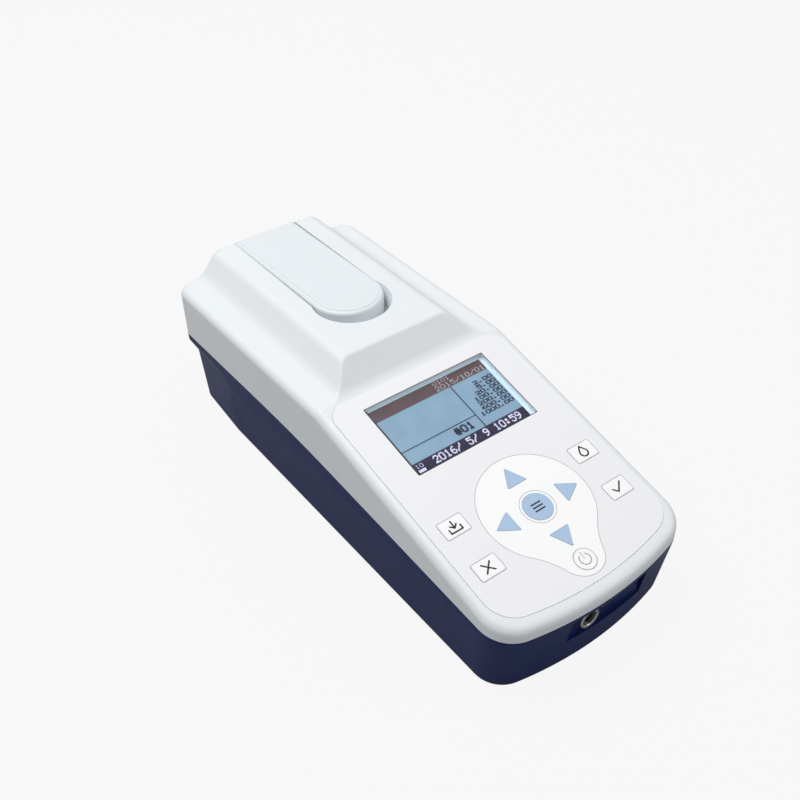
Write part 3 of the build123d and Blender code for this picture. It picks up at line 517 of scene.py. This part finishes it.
def rectangle(x, v):
    return np.array((((x[0], v[0]), (x[1], v[0]), (x[1], v[1]), (x[0], v[1])),), float)


def addPiece(name, parts, body):
    # Each part is vertices on the panel, faces and a material.
    made = bpy.data.meshes.new(name)
    vertices = []
    faces = []
    owners = []
    start = 0
    for number, (points, loops, finish) in enumerate(parts):
        vertices += onPanel(points).tolist()
        faces += [[start + corner for corner in loop] for loop in loops]
        owners += [number] * len(loops)
        start += len(points)
        made.materials.append(finish)
    made.from_pydata(vertices, [], faces)
    made.polygons.foreach_set("material_index", owners)
    made.update()
    thing = bpy.data.objects.new(name, made)
    bpy.context.scene.collection.objects.link(thing)
    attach(thing, body)
    return thing


def inkPaint(look):
    def paint(place):
        cloud = place.noise(clouds["ink"], 3)
        return {
            "Base Color": cloudy(cloud, look["colour"], shades["ink"]),
            "Roughness": look["roughness"] + (cloud - 0.5) * gloss["ink"],
        }

    return paint


inks = {
    "ink_grey": {"colour": (0.52, 0.53, 0.54), "roughness": 0.35},
    "ink_dark": {"colour": (0.035, 0.04, 0.05), "roughness": 0.35},
    # painted shade: the dark line round the display opening's edge
    "painted_edge_shade": {"colour": (0.075, 0.085, 0.095), "roughness": 0.35},
}
ink = {name: material(name, inkPaint(look)) for name, look in inks.items()}

marks = {"line": 0.38, "keySize": (13.9, 10.0), "keyCorner": 1.0, "stroke": 0.85}
menu = {"centre": (0, 52), "ring": 9.0, "half": 2.7, "rise": 1.9, "stroke": 0.8}
opening = {"centre": (0, 118.1), "size": (74.5, 45.3), "corner": 0.4, "line": 0.4}
keys = {
    "key_save": (-40.7, 64.5),
    "key_cancel": (-40.7, 39.4),
    "key_measure": (40.7, 64.5),
    "key_confirm": (40.7, 39.4),
}
# Signs drawn in strokes about each key's centre: a tray with an arrow, a cross, a drop and a tick.
symbols = {
    "key_save": bent([(-3.2, -0.6), (-3.2, -2.8), (3.2, -2.8), (3.2, -0.6)])
    + [((0, 3), (0, -0.9))]
    + bent([(-1.8, 0.8), (0, -0.9), (1.8, 0.8)]),
    "key_cancel": [((-2.4, -2.4), (2.4, 2.4)), ((-2.4, 2.4), (2.4, -2.4))],
    "key_measure": bent([*arc((0, -0.7), 2.2, 150, 390, 17).tolist(), (0, 3.3), (-1.9, 0.4)]),
    "key_confirm": bent([(-3, 0.2), (-0.9, -2.1), (3.2, 2.4)]),
}
low = panel["filmTop"]
high = low + panel["ink"]
outline = ribbon(fieldPath(), marks["line"], low, high)
ring = ribbon(arc(menu["centre"], menu["ring"], 0, 360, 97)[:-1], marks["line"], low, high)
# Painted shade: the dark ribbon round the display opening stands for the shadow along the opening's
# edge, where the window lies below the film; the field outline and the menu ring are print.
edge = roundedPath(opening["centre"], *opening["size"], opening["corner"])
border = ribbon(edge, opening["line"], low, high)
printed = [outline + (ink["ink_grey"],), ring + (ink["ink_grey"],), border + (ink["painted_edge_shade"],)]
addPiece("panel_print_and_shade", printed, "case")

low = panel["keyTop"]
high = low + panel["ink"]
for name, centre in keys.items():
    width, height = (side - marks["line"] for side in marks["keySize"])
    edge = roundedPath(centre, width, height, marks["keyCorner"])
    line = ribbon(edge, marks["line"], low, high)
    sign = prisms(strokes(symbols[name], centre, marks["stroke"]), low, high)
    printed = [line + (ink["ink_grey"],), sign + (ink["ink_dark"],)]
    addPiece(name + "_print", printed, name)

half = menu["half"]
bars = [((-half, height), (half, height)) for height in (menu["rise"], 0, -menu["rise"])]
sign = prisms(strokes(bars, menu["centre"], menu["stroke"]), low, high)
addPiece("key_menu_print", [sign + (ink["ink_dark"],)], "key_menu")

power = {
    "centre": (0, 18.6),
    "ring": 5.5,
    "sign": 2.9,
    "gap": 32.0,
    "stem": (0.4, 3.9),
    "stroke": 0.5,
}
rim = ribbon(arc(power["centre"], power["ring"], 0, 360, 65)[:-1], marks["line"], low, high)
bow = arc((0, 0), power["sign"], 90 + power["gap"], 450 - power["gap"], 33)
stem = [tuple((0, height) for height in power["stem"])]
sign = prisms(strokes(bent(bow.tolist()) + stem, power["centre"], power["stroke"]), low, high)
printed = [rim + (ink["ink_grey"],), sign + (ink["ink_grey"],)]
addPiece("key_power_print", printed, "key_power")
print("printed marks on the panel and the keys")

# Display picture: thin sheets of colour on the display glass, with dot-matrix numbers and strips of
# painted shade along its left and bottom edges.
picture = {
    "field": (0.165, 0.255, 0.335),
    "top": (0.070, 0.042, 0.044),
    "bottom": (0.008, 0.003, 0.024),
    # The line colour draws the display's rules and also the painted shade strips along its left and
    # bottom edges.
    "line": (0.008, 0.020, 0.040),
    "light": (0.55, 0.53, 0.66),
    "pale": (0.42, 0.38, 0.38),
    "dark": (0.003, 0.006, 0.028),
}
layout = {
    "across": (-35.2, 34.8),
    "bar": (96.6, 103.2),
    "body": (103.2, 132.2),
    "band": (132.2, 139.4),
    "upright": (10.1, 10.8),
    "level": (111.0, 111.6),
    # Outer edges of the painted shade strips.
    "border": (-37.4, 37.4, 95.2, 140.8),
    "battery": ((-34.6, -30.6), (97.4, 99.0)),
    "glass": -2.6,
    "lift": 0.01,
    "sheet": 0.03,
    "glow": 0.3,
    "roughness": 0.3,
}
# What each line says, then its left end, low edge, pitch of the digits, height and weight.
readings = {
    "code": ("0101", 3.4, 136.6, 2.7, 2.4, 0.8),
    "date": ("2015/10/01", 2.8, 132.9, 3.2, 2.9, 0.8),
    "clock": ("2016/ 5/ 9 10:59", -24.4, 97.8, 3.46, 4.4, 1.2),
    "charge": ("10", -34.6, 99.9, 2.3, 2.4, 0.8),
    "number": ("#01", -5.6, 105.2, 3.9, 4.4, 1.7),
}
points = {
    "rows": ["2.00", "5.00", "20.00", "100.00", "200.00", "600.00", "1000.00"],
    "right": 34.3,
    "low": 108.5,
    "step": 3.0,
    "pitch": 3.07,
    "height": 2.25,
    "weight": 1.75,
}


def glowPaint(colour):
    def paint(place):
        cloud = place.noise(clouds["lit"], 2)
        return {
            "Base Color": cloudy(cloud, colour, shades["lit"]),
            "Roughness": layout["roughness"] + cloud * gloss["display"],
        }

    return paint


def glowing(name, colour):
    glow = {"Emission Color": colour + (1,), "Emission Strength": layout["glow"]}
    return material("picture_" + name, glowPaint(colour), **glow)


def pointRow(line, text):
    # The rows end at the same right edge, the last one lowest.
    left = points["right"] - points["pitch"] * len(text)
    low = points["low"] + points["step"] * (len(points["rows"]) - 1 - line)
    return dotMatrix(text, left, low, points["pitch"], points["height"], points["weight"])


lit = {name: glowing(name, colour) for name, colour in picture.items()}
text = {name: dotMatrix(*reading) for name, reading in readings.items()}
numbers = [pointRow(line, row) for line, row in enumerate(points["rows"])]
layers = [layout["glass"] + layout["sheet"] * step for step in (1, 2)]
base = layout["glass"] + layout["lift"]
left, right = layout["across"]
farLeft, farRight, farLow, farTop = layout["border"]
split = layout["upright"][0]
lines = [rectangle(layout["upright"], layout["body"]), rectangle((left, split), layout["level"])]
# Painted shade: dark strips in the line colour along the display's left and bottom edges, where the
# window's frame shades the glass.
shade = [
    rectangle((farLeft, left), (farLow, farTop)),
    rectangle((left, farRight), (farLow, layout["bar"][0])),
]
under = {
    "field": [rectangle((left, right), layout["body"])],
    "top": [rectangle((left, right), layout["band"])],
    "bottom": [rectangle((left, right), layout["bar"])],
    "line": shade,
}
over = {
    "line": lines,
    "dark": [*numbers, text["number"]],
    "pale": [text["code"], text["date"]],
    "light": [text["clock"], rectangle(*layout["battery"]), text["charge"]],
}
sheets = [
    prisms(np.concatenate(outlines), low, high) + (lit[name],)
    for laid, low, high in ((under, base, layers[0]), (over, *layers))
    for name, outlines in laid.items()
]
addPiece("display_picture", sheets, "case")
print("display picture")

studio = {
    "side": 20,
    "floor": 0.36,
    "roughness": 0.9,
    "cloud": 0.5,
    "gloss": 0.05,
    "backdrop": 0.9,
    "world": 0.42,
    "lights": {
        "overhead": {"place": (-0.35, 0.45, 1.4), "size": 1.0, "power": 15},
        "front": {"place": (1.0, -1.0, 0.8), "size": 0.8, "power": 4},
    },
}


def makeStudio(values):
    bpy.ops.mesh.primitive_plane_add(size=values["side"])
    floor = bpy.context.object
    floor.name = "floor"

    def paint(place):
        return {"Roughness": values["roughness"] + place.noise(values["cloud"]) * values["gloss"]}

    made = material("floor", paint, **{"Base Color": (values["floor"],) * 3 + (1,)})
    tree = made.node_tree
    start = Wire(tree, tree.nodes["Principled BSDF"].outputs[0])
    seen = start.node("ShaderNodeLightPath", {}, "Is Camera Ray")
    white = start.node("ShaderNodeEmission", {"Color": (1, 1, 1, 1), "Strength": 1.0})
    added = start.node("ShaderNodeMixShader", {0: seen * values["backdrop"], 1: start, 2: white})
    tree.links.new(added.socket, tree.nodes["Material Output"].inputs["Surface"])
    floor.data.materials.append(made)
    world = bpy.data.worlds.new("world")
    bpy.context.scene.world = world
    world.use_nodes = True
    background = world.node_tree.nodes["Background"]
    background.inputs["Color"].default_value = (1, 1, 1, 1)
    background.inputs["Strength"].default_value = values["world"]
    for name, light in values["lights"].items():
        data = bpy.data.lights.new(name, "AREA")
        data.size = light["size"]
        data.energy = light["power"]
        lamp = bpy.data.objects.new(name, data)
        lamp.location = light["place"]
        lamp.rotation_euler = Vector(light["place"]).to_track_quat("Z", "Y").to_euler()
        bpy.context.scene.collection.objects.link(lamp)


makeStudio(studio)
bpy.context.scene.view_settings.view_transform = "Standard"
print("floor and lights")
